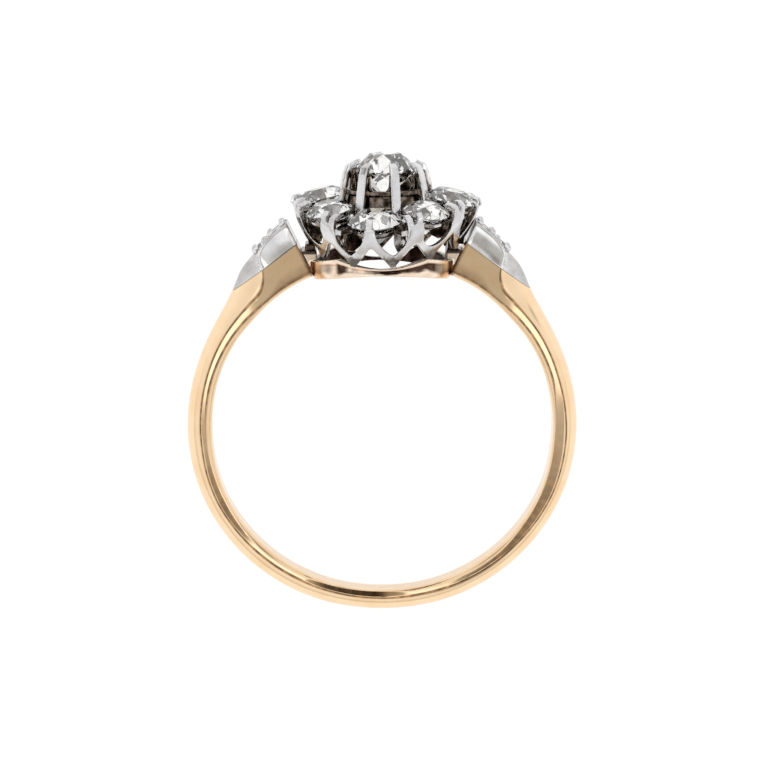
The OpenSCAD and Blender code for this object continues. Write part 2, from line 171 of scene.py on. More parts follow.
def smooth_value(angle, column):
    """One column of the station table at an angle, on a smooth curve through every row."""
    rows = STATIONS
    last = len(rows) - 1

    def slope(i):
        lo, hi = max(i - 1, 0), min(i + 1, last)
        return 0 if i == 0 else (rows[hi][column] - rows[lo][column]) / (rows[hi][0] - rows[lo][0])

    i = max(k for k in range(last) if rows[k][0] <= angle)
    run = rows[i + 1][0] - rows[i][0]
    t = (angle - rows[i][0]) / run
    return (
        (2 * t**3 - 3 * t**2 + 1) * rows[i][column]
        + (t**3 - 2 * t**2 + t) * run * slope(i)
        + (3 * t**2 - 2 * t**3) * rows[i + 1][column]
        + (t**3 - t**2) * run * slope(i + 1)
    )


def skin(rings, closed=False):
    """Points and faces of a tube over rings of points, capped or joined end to end."""
    n, m = len(rings[0]), len(rings)
    points = [p for ring in rings for p in ring]
    faces = []
    for i in range(m if closed else m - 1):
        for j in range(n):
            a, b = i * n + j, i * n + (j + 1) % n
            c, d = (i + 1) % m * n + (j + 1) % n, (i + 1) % m * n + j
            faces.append((a, b, c, d))
    if not closed:
        faces.append(tuple(reversed(range(n))))
        faces.append(tuple((m - 1) * n + j for j in range(n)))
    return points, faces


def joined(parts):
    """Several (points, faces) as one."""
    points, faces = [], []
    for p, f in parts:
        base = len(points)
        points += [tuple(q) for q in p]
        faces += [tuple(base + k for k in face) for face in f]
    return points, faces


def in_scene(name, data):
    piece = bpy.data.objects.new(name, data)
    bpy.context.scene.collection.objects.link(piece)
    return piece


def turn_outwards(mesh):
    bm = bmesh.new()
    bm.from_mesh(mesh)
    bmesh.ops.recalc_face_normals(bm, faces=bm.faces)
    bm.to_mesh(mesh)
    bm.free()


def raw_object(name, part):
    """A working object, in millimetres, with its faces turned outwards."""
    mesh = bpy.data.meshes.new(name)
    mesh.from_pydata([tuple(map(float, p)) for p in part[0]], [], part[1])
    turn_outwards(mesh)
    return in_scene(name, mesh)


def drop_object(piece):
    mesh = piece.data
    bpy.data.objects.remove(piece)
    if mesh.users == 0:
        bpy.data.meshes.remove(mesh)


def settled(piece):
    """The plain mesh that a working object's modifiers make, with the object taken away."""
    graph = bpy.context.evaluated_depsgraph_get()
    mesh = bpy.data.meshes.new_from_object(piece.evaluated_get(graph))
    drop_object(piece)
    return mesh


def part_of(mesh):
    """A mesh as (points, faces)."""
    points = np.empty(len(mesh.vertices) * 3)
    mesh.vertices.foreach_get("co", points)
    faces = [tuple(p.vertices) for p in mesh.polygons]
    return points.reshape(-1, 3), faces


def cut_from(part, cutters):
    """A part with each of the cutters taken out of it."""
    piece = raw_object("blank", part)
    tools = [raw_object("cutter", c) for c in cutters]
    for tool in tools:
        cut = piece.modifiers.new("cut", "BOOLEAN")
        cut.object = tool
        cut.operation = "DIFFERENCE"
        cut.solver = "EXACT"
        cut.use_self = True
    mesh = settled(piece)
    for tool in tools:
        drop_object(tool)
    return part_of(mesh)


def fused(parts, voxel, rounds):
    """The parts melted into one skin, as soldered and polished metal is, as (points, faces)."""
    piece = raw_object("blank", joined(parts))
    melt = piece.modifiers.new("melt", "REMESH")
    melt.mode = "VOXEL"
    melt.voxel_size = voxel
    melt.use_smooth_shade = True
    polish = piece.modifiers.new("polish", "SMOOTH")
    polish.factor = 0.5
    polish.iterations = rounds
    return part_of(settled(piece))


def hollows(points, faces):
    """How far each point of a skin lies in a hollow, above 0 there, and the skin's normals."""
    mesh = bpy.data.meshes.new("probe")
    mesh.from_pydata([tuple(p) for p in points], [], faces)
    edges = np.empty(len(mesh.edges) * 2, int)
    mesh.edges.foreach_get("vertices", edges)
    edges = edges.reshape(-1, 2)
    normals = np.empty(len(points) * 3)
    mesh.vertices.foreach_get("normal", normals)
    normals = normals.reshape(-1, 3)
    bpy.data.meshes.remove(mesh)
    total = np.zeros(len(points))
    count = np.zeros(len(points))
    run = points[edges[:, 1]] - points[edges[:, 0]]
    length = np.linalg.norm(run, axis=1) + 1e-9
    for a, way in ((0, 1), (1, -1)):
        value = np.einsum("ij,ij->i", run * way, normals[edges[:, a]]) / length
        np.add.at(total, edges[:, a], value)
        np.add.at(count, edges[:, a], 1)
    value = total / np.maximum(count, 1)
    for _ in range(4):
        spread = np.zeros(len(points))
        np.add.at(spread, edges[:, 0], value[edges[:, 1]])
        np.add.at(spread, edges[:, 1], value[edges[:, 0]])
        value = 0.5 * value + 0.5 * spread / np.maximum(count, 1)
    return value, normals


def thinned(mesh, share):
    """The mesh with a share of its triangles left, the flat parts thinned first."""
    piece = in_scene("thick", mesh)
    thin = piece.modifiers.new("thin", "DECIMATE")
    thin.ratio = share
    return settled(piece)


def finished(name, points, faces, material, painted_shade_and_patches, nodes, crease=None, share=1):
    """A piece of the ring from its places in the frame, with its painted shade and dark patches and its
    metal.
    """
    mesh = bpy.data.meshes.new(name)
    mesh.from_pydata([tuple(map(float, p)) for p in points], [], faces)
    layer = mesh.attributes.new("painted_shade_and_patches", "FLOAT", "POINT")
    layer.data.foreach_set("value", np.asarray(painted_shade_and_patches, np.float32))
    if share < 1:
        mesh = thinned(mesh, share)
    turn_outwards(mesh)
    mesh.polygons.foreach_set("use_smooth", [True] * len(mesh.polygons))
    if crease is not None:
        mesh.set_sharp_from_angle(angle=math.radians(crease))
    mesh.materials.append(material)
    piece = in_scene(name, mesh)
    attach(piece, "root")
    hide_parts(*nodes)


# Plain forms

BALL_SIDES = 14


def block(low, high):
    """A box as (points, faces)."""
    (x0, y0, z0), (x1, y1, z1) = low, high
    ring = [(x0, y0), (x1, y0), (x1, y1), (x0, y1)]
    return skin([[(x, y, z0) for x, y in ring], [(x, y, z1) for x, y in ring]])


def round_part(rings, turns, point, way):
    """A turned part from (radius, height) rows, standing at a point along a way."""
    way = Vector(way).normalized()
    across = way.orthogonal().normalized()
    over = way.cross(across)
    rows = []
    for r, h in rings:
        rows.append([
            tuple(Vector(point) + way * h + across * r * math.cos(a) + over * r * math.sin(a))
            for a in (2 * math.pi * k / turns for k in range(turns))
        ])
    return skin(rows)


def ball(point, radius):
    half = BALL_SIDES // 2
    angles = [math.pi * k / half for k in range(1, half)]
    rows = [(radius * math.sin(a), -radius * math.cos(a)) for a in angles]
    return round_part(rows, BALL_SIDES, point, (0, 0, 1))


def turned(loop, turns, shift=0):
    """A ring with a loop of (radius, height) as its section, about the upright axis."""
    rings = []
    for i in range(turns):
        t = math.tau * (i + shift) / turns
        rings.append([(r * math.cos(t), r * math.sin(t), z) for r, z in loop])
    return skin(rings, closed=True)


def arc(cx, cy, r, first, last, steps):
    """Places along an arc, between two angles in degrees."""
    return [
        (cx + r * math.cos(math.radians(a)), cy + r * math.sin(math.radians(a)))
        for a in np.linspace(first, last, steps)
    ]


def outline_prism(outline, depth_from, depth_to):
    """A prism of a flat outline, (along, height) places, running outwards at the front."""
    return skin([[(u, -depth, v) for u, v in outline] for depth in (depth_from, depth_to)])


# Materials

def new_material(name):
    material = bpy.data.materials.new(name)
    material.use_nodes = True
    nodes, links = material.node_tree.nodes, material.node_tree.links
    return material, nodes, links, nodes["Principled BSDF"]


def add(nodes, kind, **values):
    node = nodes.new(kind)
    for name, value in values.items():
        setattr(node, name, value)
    return node


def feed(links, socket, value):
    """Joins a socket to the output given, or sets it to the plain value given."""
    if hasattr(value, "links"):
        links.new(value, socket)
    else:
        socket.default_value = value


def mixed(nodes, links, factor, first, second):
    """The colour from first to second as factor goes from 0 to 1."""
    mix = add(nodes, "ShaderNodeMix", data_type="RGBA")
    for socket, value in ((0, factor), (6, first), (7, second)):
        feed(links, mix.inputs[socket], value)
    return mix.outputs[2]


def maths(nodes, links, operation, first, second):
    node = add(nodes, "ShaderNodeMath", operation=operation)
    feed(links, node.inputs[0], first)
    feed(links, node.inputs[1], second)
    return node.outputs[0]


def ramped(nodes, links, value, low, high):
    """The value stretched so that low becomes 0 and high becomes 1."""
    stretch = add(nodes, "ShaderNodeMapRange", interpolation_type="SMOOTHSTEP")
    links.new(value, stretch.inputs["Value"])
    stretch.inputs["From Min"].default_value = low
    stretch.inputs["From Max"].default_value = high
    return stretch.outputs["Result"]


def noise_of(nodes, links, scale, detail=3.0):
    """Noise on Object coordinates, with so many clouds to the metre."""
    place = add(nodes, "ShaderNodeTexCoord")
    noise = add(nodes, "ShaderNodeTexNoise")
    noise.inputs["Scale"].default_value = scale
    noise.inputs["Detail"].default_value = detail
    links.new(place.outputs["Object"], noise.inputs["Vector"])
    return noise.outputs["Fac"]


def worn_metal(name, bright, dull, dark, shade_pale, rough_low, rough_high, bump):
    """Polished metal: cloudy tone, fine wear in the gloss, and painted shade and dark patches where the
    piece says so.
    """
    material, nodes, links, shader = new_material(name)
    cloud = ramped(nodes, links, noise_of(nodes, links, 900), 0.35, 0.7)
    tone = mixed(nodes, links, cloud, bright, dull)
    # Painted shade, and the base's dark patches, darken the tone towards a grainy mix of the two shade
    # colours.
    painted_shade_and_patches = add(nodes, "ShaderNodeAttribute", attribute_name="painted_shade_and_patches")
    grain = ramped(nodes, links, noise_of(nodes, links, 2600, 6), 0.38, 0.64)
    shade_and_patch_colour = mixed(nodes, links, grain, dark, shade_pale)
    links.new(mixed(nodes, links, painted_shade_and_patches.outputs["Fac"], tone, shade_and_patch_colour), shader.inputs["Base Color"])
    shader.inputs["Metallic"].default_value = 1.0
    scuffs = noise_of(nodes, links, 5000, 6)
    gloss = add(nodes, "ShaderNodeMapRange")
    links.new(scuffs, gloss.inputs["Value"])
    gloss.inputs["To Min"].default_value = rough_low
    gloss.inputs["To Max"].default_value = rough_high
    links.new(gloss.outputs["Result"], shader.inputs["Roughness"])
    relief = add(nodes, "ShaderNodeBump")
    relief.inputs["Strength"].default_value = bump
    relief.inputs["Distance"].default_value = 0.00001
    links.new(noise_of(nodes, links, 3500, 4), relief.inputs["Height"])
    links.new(relief.outputs["Normal"], shader.inputs["Normal"])
    return material


def cut_diamond(name, tint):
    """Clear stone of high refraction, with a faint cloud in its tint."""
    material, nodes, links, shader = new_material(name)
    cloud = ramped(nodes, links, noise_of(nodes, links, 1400), 0.3, 0.7)
    links.new(mixed(nodes, links, cloud, (1, 1, 0.99, 1), tint), shader.inputs["Base Color"])
    shader.inputs["Transmission Weight"].default_value = 1.0
    shader.inputs["IOR"].default_value = 2.42
    shader.inputs["Roughness"].default_value = 0.0
    return material


# The two darker colours of each metal are those of its painted shade, and on the rose gold also of the
# base's dark patches.
GOLD = worn_metal(
    "polished_gold", bright=(0.95, 0.72, 0.47, 1), dull=(0.92, 0.66, 0.41, 1),
    dark=(0.11, 0.05, 0.017, 1), shade_pale=(0.38, 0.2, 0.08, 1), rough_low=0.08, rough_high=0.2, bump=0.12,
)
ROSE_GOLD = worn_metal(
    "rose_gold", bright=(0.97, 0.81, 0.66, 1), dull=(0.95, 0.74, 0.57, 1),
    dark=(0.03, 0.015, 0.01, 1), shade_pale=(0.1, 0.055, 0.04, 1), rough_low=0.12, rough_high=0.34, bump=0.3,
)
PLATINUM = worn_metal(
    "polished_platinum", bright=(0.81, 0.81, 0.82, 1), dull=(0.63, 0.62, 0.62, 1),
    dark=(0.045, 0.033, 0.022, 1), shade_pale=(0.26, 0.21, 0.17, 1), rough_low=0.07, rough_high=0.22,
    bump=0.25,
)
DIAMOND = cut_diamond("old_cut_diamond", (0.95, 0.94, 0.91, 1))
SMALL_DIAMOND = cut_diamond("small_diamond", (0.93, 0.92, 0.9, 1))


# Geometry Nodes

def new_tree(name, sockets):
    """A tree with a Geometry output and the inputs named, and its first and last node."""
    tree = bpy.data.node_groups.new(name, "GeometryNodeTree")
    tree.is_modifier = True
    tree.interface.new_socket("Geometry", in_out="OUTPUT", socket_type="NodeSocketGeometry")
    for label, kind in sockets.items():
        tree.interface.new_socket(label, in_out="INPUT", socket_type="NodeSocket" + kind)
    return tree, tree.nodes.new("NodeGroupInput"), tree.nodes.new("NodeGroupOutput")


def stand_on(tree, points, piece):
    """Sets a piece on each point, and gives the node that does it and its realized copies."""
    stand = tree.nodes.new("GeometryNodeInstanceOnPoints")
    tree.links.new(points, stand.inputs["Points"])
    tree.links.new(piece, stand.inputs["Instance"])
    real = tree.nodes.new("GeometryNodeRealizeInstances")
    tree.links.new(stand.outputs[0], real.inputs[0])
    return stand, real.outputs[0]


def end_tree(tree, geometry, given, made):
    """Sets the metal of the geometry and puts it out."""
    metal = tree.nodes.new("GeometryNodeSetMaterial")
    tree.links.new(geometry, metal.inputs["Geometry"])
    tree.links.new(given.outputs["Metal"], metal.inputs["Material"])
    tree.links.new(metal.outputs[0], made.inputs[0])
    return tree


def grown(host, tree, values):
    """What a tree makes of a host with the inputs given, as (points, faces)."""
    rows = host.modifiers.new("grown", "NODES")
    rows.node_group = tree
    inputs = {s.name: s.identifier for s in tree.interface.items_tree if s.in_out == "INPUT"}
    for name, value in values.items():
        rows[inputs[name]] = value
    return part_of(settled(host))


# The hoop and its shoulders

EDGE_STEPS = 14
SIDE_STEPS = 5
DOME_STEPS = 20
DOME_START = 0.36
# Darkness of the shade painted on the inside of the hoop, and the angle from the back up to which its
# edges are crisp.
INNER_SHADE = 0.2
CRISP_TO = 60
# How far the outside is polished down, which keeps it within the solid.
POLISHED_OFF = 0.004
# The bevel over the flat side, which fades where the side leans and up to this angle.
BEVEL_DROP = 0.13
BEVEL_IN = 0.035
BEVEL_GONE_AT = 128
BEVEL_LEAN = 10

# How the section has worn and where shade is painted on it, round the hoop from its left shoulder
# to its right one: angle from the back, height of the soft inner edge, how far the outer crease
# has sunk, lean of the side in degrees, darkness of the painted shade line along the inner edge,
# darkness of the painted reflection on the side, half the width of the painted shade line along
# the crease.
WEAR_AND_SHADE = np.array([
    (-155, 0.24, 0, 0, 0.9, 0.08, 0.055),
    (-136, 0.24, 0, 0, 0.9, 0.08, 0.055),
    (-127, 0.36, 0.02, 14, 0.9, 0, 0.03),
    (-100, 0.4, 0.12, 14, 0.9, 0, 0.03),
    (-91, 0.36, 0.15, 6, 0.5, 0.1, 0.03),
    (-80, 0.3, 0.17, 0, 0.1, 0.2, 0.03),
    (-72, 0.24, 0.14, -2, 0, 0.6, 0.03),
    (-62, 0.2, 0.12, -4, 0, 0.7, 0.03),
    (-54, 0.22, 0.13, -4, 0, 0.75, 0.035),
    (-44, 0.24, 0.13, 9, 0, 0, 0.04),
    (-27, 0.22, 0.13, 10, 0, 0, 0.05),
    (-21, 0.12, 0.12, -9, 0, 0.85, 0.04),
    (-2, 0.06, 0.11, -9, 0, 0.85, 0.035),
    (4, 0.1, 0.11, -4, 0, 0.5, 0.05),
    (9, 0.2, 0.11, 9, 0, 0, 0.05),
    (19, 0.24, 0.11, 9, 0, 0.1, 0.045),
    (29, 0.26, 0.11, -5, 0, 0.7, 0.03),
    (40, 0.24, 0.1, -5.5, 0, 0.85, 0.03),
    (52, 0.14, 0.08, -4.5, 0, 0.75, 0.03),
    (66, 0.1, 0.05, -3, 0, 0.6, 0.03),
    (84, 0.1, 0.05, 0, 0, 0.2, 0.03),
    (94, 0.2, 0.08, 5, 0.4, 0.1, 0.03),
    (103, 0.36, 0.1, 14, 0.9, 0, 0.03),
    (127, 0.36, 0.02, 14, 0.9, 0, 0.03),
    (136, 0.24, 0, 0, 0.9, 0.08, 0.055),
    (155, 0.24, 0, 0, 0.9, 0.08, 0.055),
])


def half_section(angle):
    """Half of the hoop's section: (across, radius, darkness of painted shade) from the middle of the
    inside out.
    """
    a = abs(angle)
    rise, sunk, lean, line, side, line_half = (
        np.interp(angle, WEAR_AND_SHADE[:, 0], WEAR_AND_SHADE[:, k]) for k in range(1, WEAR_AND_SHADE.shape[1])
    )
    inner = smooth_value(a, INNER)
    outer = smooth_value(a, OUTER) - POLISHED_OFF
    half = smooth_value(a, HALF_W)
    flat = inner + smooth_value(a, FLAT) - sunk
    low = inner + rise
    slip = math.tan(math.radians(abs(lean))) * (flat - low)
    foot_in, head_in = (slip, 0) if lean < 0 else (0, slip)
    edge = half - foot_in
    rows = [(0, inner, INNER_SHADE), ((edge - EDGE_RUN) * 0.6, inner, INNER_SHADE)]
    crisp = math.radians(max(0, lean) * 4) if a < CRISP_TO else 0
    full = math.pi / 2 - crisp
    for k in range(EDGE_STEPS + 1):
        t = full * k / EDGE_STEPS
        mark = line if k >= EDGE_STEPS - 2 else INNER_SHADE * 0.5
        across = edge - EDGE_RUN + EDGE_RUN * math.sin(t) / math.sin(full)
        rows.append((across, inner + rise * (1 - math.cos(t)) / (1 - math.cos(full)), mark))
    fade = max(0, 1 - abs(lean) / BEVEL_LEAN) * min(1, max(0, (BEVEL_GONE_AT - a) / 8))
    bevel = min(BEVEL_DROP, (flat - low) * 0.4) * fade
    bevel_in = BEVEL_IN * bevel / BEVEL_DROP
    top = flat - max(bevel, line_half * 2)
    for k in range(SIDE_STEPS + 1):
        f = (k + 0.35) / (SIDE_STEPS + 0.35)
        r = low + (top - low) * f
        across = half - foot_in - (head_in - foot_in) * (r - low) / (flat - low)
        rows.append((across, r, max(side, line * 0.5 if k == 0 else 0)))
    head = half - head_in - bevel_in
    # A thin painted shade line along the crease where the side meets the dome.
    rows.append((head + bevel_in * 0.3, flat - line_half * 1.6, 0))
    rows.append((head, flat - line_half, 1))
    rows.append((head - 0.015, flat + line_half * 0.4, 1))
    top_r = flat + line_half * 0.6
    for k in range(DOME_STEPS + 1):
        t = DOME_START + (math.pi / 2 - DOME_START) * k / DOME_STEPS
        across = (head - 0.02) * math.cos(t) / math.cos(DOME_START)
        rise_share = (math.sin(t) - math.sin(DOME_START)) / (1 - math.sin(DOME_START))
        rows.append((across, top_r + (outer - top_r) * rise_share, 1 if k == 0 else 0))
    return rows


def hoop_rings(first, last, step):
    """Rings of points and painted shade values along the hoop, between two angles from its back."""
    count = max(1, round((last - first) / step))
    rings, shade_marks = [], []
    for i in range(count + 1):
        angle = first + (last - first) * i / count
        rows = half_section(angle)
        loop = rows[:-1] + [(-a, r, c) for a, r, c in reversed(rows)][:-1]
        t = math.radians(angle)
        rings.append([(r * math.sin(t), a, -r * math.cos(t)) for a, r, _ in loop])
        shade_marks += [c for _, _, c in loop]
    return rings, shade_marks


def sliced(part, values, point, normal, keep_above):
    """A part cut by a plane and capped, and its values at the points that are left."""
    bm = bmesh.new()
    layer = bm.verts.layers.float.new("carried_value")
    made = [bm.verts.new(tuple(p)) for p in part[0]]
    for vert, value in zip(made, values):
        vert[layer] = value
    for face in part[1]:
        bm.faces.new([made[k] for k in face])
    geometry = bm.verts[:] + bm.edges[:] + bm.faces[:]
    cut = bmesh.ops.bisect_plane(
        bm, geom=geometry, dist=1e-6, plane_co=point, plane_no=normal,
        clear_inner=keep_above, clear_outer=not keep_above,
    )
    rim = [e for e in cut["geom_cut"] if isinstance(e, bmesh.types.BMEdge)]
    bmesh.ops.holes_fill(bm, edges=rim, sides=0)
    bm.verts.index_update()
    points = [tuple(v.co) for v in bm.verts]
    faces = [tuple(v.index for v in f.verts) for f in bm.faces]
    left = [v[layer] for v in bm.verts]
    bm.free()
    return (points, faces), left


def seam(side, lift):
    """A point on the seam of a shoulder and the way up out of it."""
    run = Vector((SEAM_FAR[0] - SEAM_NEAR[0], 0, SEAM_FAR[1] - SEAM_NEAR[1])).normalized()
    up = Vector((-run.z, 0, run.x))
    if up.z < 0:
        up = -up
    point = Vector((SEAM_NEAR[0], 0, SEAM_NEAR[1])) + up * lift
    return Vector((side * point.x, 0, point.z)), Vector((side * up.x, 0, up.z))


def on_shoulder(side, angle, across, lift):
    """A place over the top of a shoulder, and the way out of it."""
    t = math.radians(angle)
    r = smooth_value(angle, OUTER) + lift
    out = Vector((side * math.sin(t), 0, -math.cos(t)))
    return out * r + Vector((0, across, 0)), out


def make_shank():
    rings, shade_marks = hoop_rings(-SHOULDER_END, SHOULDER_END, 1.0)
    part = skin(rings)
    for side in (-1, 1):
        point, up = seam(side, 0)
        part, shade_marks = sliced(part, shade_marks, point, up, keep_above=False)
    points = np.array(part[0])
    angle = np.degrees(np.arctan2(np.abs(points[:, 0]), -points[:, 2]))
    # Painted shade: the marks of the section, and its ends darkened where the hoop meets the base.
    end_shade = np.clip((angle - SHOULDER_END + 0.8) / 0.7, 0, 1)
    painted_shade_and_patches = np.clip(np.array(shade_marks) * 0.92 + end_shade * 0.85, 0, 1)
    finished(
        "gold_hoop", laid(points), part[1], GOLD, painted_shade_and_patches, crease=10,
        nodes=("shank",),
    )


def edge_grains(side):
    """Where the fine grains stand along the two upper edges of a plate."""
    spots = []
    seam_point, up = seam(side, SEAM_GAP)
    for angle in np.arange(*GRAIN_RUN):
        for way in (-1, 1):
            t = math.radians(angle)
            across = smooth_value(angle, HALF_W) - 0.13
            r = smooth_value(angle, INNER) + smooth_value(angle, FLAT)
            crown = smooth_value(angle, OUTER) - r
            r += crown * 0.3
            spot = Vector((side * r * math.sin(t), way * across, -r * math.cos(t)))
            if (spot - seam_point).dot(up) > GRAIN_CLEAR:
                spots.append(spot)
    return spots


def scattered_tree():
    """Sets a grain on each point of a host, at a size drawn at random from a fixed seed."""
    tree, given, made = new_tree("grains_on_points", {
        "Geometry": "Geometry", "Grain Radius": "Float", "Size Spread": "Float", "Seed": "Int",
        "Metal": "Material",
    })
    nodes, links = tree.nodes, tree.links
    grain = nodes.new("GeometryNodeMeshIcoSphere")
    grain.inputs["Subdivisions"].default_value = 2
    links.new(given.outputs["Grain Radius"], grain.inputs["Radius"])
    points = nodes.new("GeometryNodeMeshToPoints")
    links.new(given.outputs["Geometry"], points.inputs["Mesh"])
    spread = given.outputs["Size Spread"]
    size = add(nodes, "FunctionNodeRandomValue", data_type="FLOAT")
    links.new(maths(nodes, links, "SUBTRACT", 1, spread), size.inputs[2])
    links.new(maths(nodes, links, "ADD", 1, spread), size.inputs[3])
    links.new(given.outputs["Seed"], size.inputs["Seed"])
    stand, real = stand_on(tree, points.outputs[0], grain.outputs["Mesh"])
    links.new(size.outputs[1], stand.inputs["Scale"])
    return end_tree(tree, real, given, made)


GRAIN_TREE = scattered_tree()


def grains(spots, radius, spread, seed):
    """Grains of metal at the spots, as (points, faces)."""
    host = raw_object("host", ([tuple(p) for p in spots], []))
    return grown(host, GRAIN_TREE, {
        "Grain Radius": radius, "Size Spread": spread, "Seed": seed, "Metal": PLATINUM,
    })


def stone_wells(side):
    """What is cut out of a plate for its stones to sit in."""
    wells = []
    for angle, d in SHOULDER_STONES:
        point, out = on_shoulder(side, angle, 0, -STONE_SINK)
        r = d / 2 + STONE_ROOM
        rows = [
            (r * 0.66, -d * 0.6), (r * 0.7, -d * 0.3), (r, -d * 0.24), (r, 0.0), (r * 1.12, 0.12),
            (r * 1.5, 1.2),
        ]
        wells.append(round_part(rows, 32, point, out))
    return wells


def make_plate(side, word):
    first, last = (PLATE_FROM, SHOULDER_END) if side > 0 else (-SHOULDER_END, -PLATE_FROM)
    rings, shade_marks = hoop_rings(first, last, 0.5)
    seam_point, up = seam(side, SEAM_GAP)
    part, _ = sliced(skin(rings), shade_marks, seam_point, up, keep_above=True)
    part = cut_from(part, stone_wells(side))
    beads = [
        on_shoulder(side, angle, across * way, lift)[0]
        for angle, across, lift in BEAD_ROWS for way in (-1, 1)
    ]
    parts = [
        part, grains(beads, BEAD_R, spread=0.12, seed=3),
        grains(edge_grains(side), GRAIN_R, spread=0.2, seed=5),
    ]
    points, faces = fused(parts, *PLATE_MELT)
    points = np.array(points)
    x, y, z = points.T
    angle = np.degrees(np.arctan2(np.abs(x), -z))
    r = np.hypot(x, z)
    span = np.clip(angle, PLATE_FROM, SHOULDER_END)
    table = np.array([
        (v, smooth_value(v, INNER) + smooth_value(v, FLAT))
        for v in np.linspace(PLATE_FROM, SHOULDER_END, 60)
    ])
    flat_top = np.interp(span, table[:, 0], table[:, 1])
    above = (points - np.array(seam_point)) @ np.array(up)
    height = above + flat_top - r
    share = np.clip(above / np.maximum(height, 0.05), 0, 1)
    fade = np.clip((height - 0.25) / 1.3, 0, 1) ** 2 * np.clip((SHOULDER_END - angle) / 1.2, 0, 1)
    if side > 0:
        scoop = 4 * HOLLOW_DEPTH * share * (1 - share)
    else:
        scoop = LEAN_DEPTH * (1 - share**LEAN_BEND)
    points[:, 1] -= np.sign(y) * scoop * fade * (np.abs(y) > SHOULDER_HALF_W - 0.06)
    # Painted shade: dark ends where the shoulder meets the base, grey on faces turned outwards, and dark
    # hollows.
    end_shade = np.clip((angle - SHOULDER_END + 0.5) / 0.4, 0, 1)
    bend, normals = hollows(points, faces)
    outward = (normals[:, 0] * x + normals[:, 2] * z) / r
    top_shade = TOP_SHADE * np.clip((outward - 0.45) / 0.3, 0, 1)
    painted_shade_and_patches = np.clip(end_shade * 0.75 + top_shade + np.clip(bend * 9 - 0.1, 0, 0.9), 0, 1)
    finished(
        "platinum_top_" + word, laid(points), faces, PLATINUM, painted_shade_and_patches,
        nodes=("shoulder_plate_" + word,),
    )


# The gallery base

def base_heights(x, back):
    """Height of the underside and of the rim of the base at a distance from its middle."""
    rim_r = BASE_R**2 / (2 * RIM_DIP)
    low = BASE_UNDER - UNDER_R + math.sqrt(UNDER_R**2 - x * x)
    dome = BASE_RIM - rim_r + math.sqrt(rim_r**2 - x * x)
    scoop = SCOOP_Z + SCOOP_R - math.sqrt(SCOOP_R**2 - x * x)
    filed = RIM_FILED * back * math.exp(-(((x - 0.1) / 1.5) ** 4))
    return low, min(dome, scoop) - filed


def base_wall():
    """The base's ring, its foot and rim both curved, with a hollow in its outer side."""
    foot_r = BASE_R - BASE_FOOT_IN
    rings = []
    for k in range(RING_STEPS):
        t = math.radians(360 / RING_STEPS * k)
        x = BASE_R * math.sin(t) * 0.97
        low, high = base_heights(x, math.cos(t) < 0)
        middle = min(1, max(0, (3.1 - abs(x)) / 0.5))
        outside, inside = [], []
        for i in range(BASE_LEVELS + 1):
            f = i / BASE_LEVELS
            z = low + (high - low) * f
            r = foot_r + BASE_FOOT_IN * (z - BASE_LOW) / (BASE_HIGH - BASE_LOW)
            hollow = BASE_HOLLOW * middle * math.sin(math.pi * min(1, max(0, (f - 0.24) / 0.62))) ** 2
            outside.append((r - hollow, z))
            inside.append((r - BASE_WALL, z))
        loop = outside + inside[::-1]
        rings.append([(r * math.sin(t), -r * math.cos(t), z) for r, z in loop])
    return skin(rings, closed=True)


def clear_of_shoulders(part):
    """A part of the base, trimmed to stop short of the end faces of both shoulders."""
    values = [0] * len(part[0])
    t = math.radians(SHOULDER_END)
    for side in (-1, 1):
        way = Vector((side * math.cos(t), 0, math.sin(t)))
        point = Vector((-side * END_GAP, 0, 0))
        part, values = sliced(part, values, point, -way, keep_above=False)
    return part


def base_painted_shade_and_patches(points, under):
    """Darkening of the base: patches along the band in its hollow side, painted shade on its inside, and
    painted shadow on the posts at its ends.
    """
    x, y, z = points.T
    r = np.hypot(x, y)
    rim = np.array([base_heights(v, False)[1] for v in np.clip(x, -BASE_R, BASE_R)])
    fall = (rim - z) / np.maximum(rim - under, 0.1)
    wave = np.sin(2.3 * x + 0.9) + np.sin(5.1 * x - 0.4) * 0.6 + np.sin(11.3 * x) * 0.35
    patches = 0.05 + 0.12 * wave + 0.06 * x
    for middle, half, depth in DARK_PATCHES:
        patches += depth * np.exp(-(((x - middle) / half) ** 4))
    shade = np.clip(1.5 * patches, 0.06, 1) * np.clip((3.3 - np.abs(x)) / 0.3, 0, 1)
    band = np.clip((fall - 0.16) / 0.08, 0, 1) * np.clip((0.74 + 0.08 * wave - fall) / 0.16, 0, 1)
    band = band * shade * (r > 3.2)
    # Painted shade inside the base, and painted shadow on the posts at its ends.
    inside = np.clip((3.45 - r) / 0.15, 0, 1)
    posts = (np.abs(x) > 3.1) & (np.abs(y) < 1.3) & (z > 8.22)
    return np.clip(band + inside + posts * 0.9, 0, 1)


def make_base():
    parts = [base_wall()]
    for side in (-1, 1):
        for half_y, inner_x, outer_x, top in LUGS:
            x0, x1 = sorted((side * inner_x, side * outer_x))
            parts.append(block((x0, -half_y, LUG_FOOT), (x1, half_y, top)))
    points, faces = fused([clear_of_shoulders(part) for part in parts], *BASE_MELT)
    points = np.array(points)
    under = BASE_UNDER - UNDER_R + np.sqrt(np.maximum(UNDER_R**2 - points[:, 0] ** 2, 0))
    points[:, 2] = np.maximum(points[:, 2], under)
    finished(
        "rose_gold_base", laid(points), faces, ROSE_GOLD, base_painted_shade_and_patches(points, under),
        nodes=("gallery_base",),
    )


# The coronet

def wall_r(z):
    """Radius of the middle of the coronet's wall at a height."""
    rise = min(1, max(0, (z - WALL_FOOT_Z) / 2.1))
    return WALL_FOOT_R + WALL_FLARE * math.sin(math.pi / 2 * rise)


def at_front(angle, z, r):
    """A place at an angle round the coronet, from its front, before the arch of the cluster."""
    t = math.radians(angle)
    return Vector((r * math.sin(t), -r * math.cos(t), z))


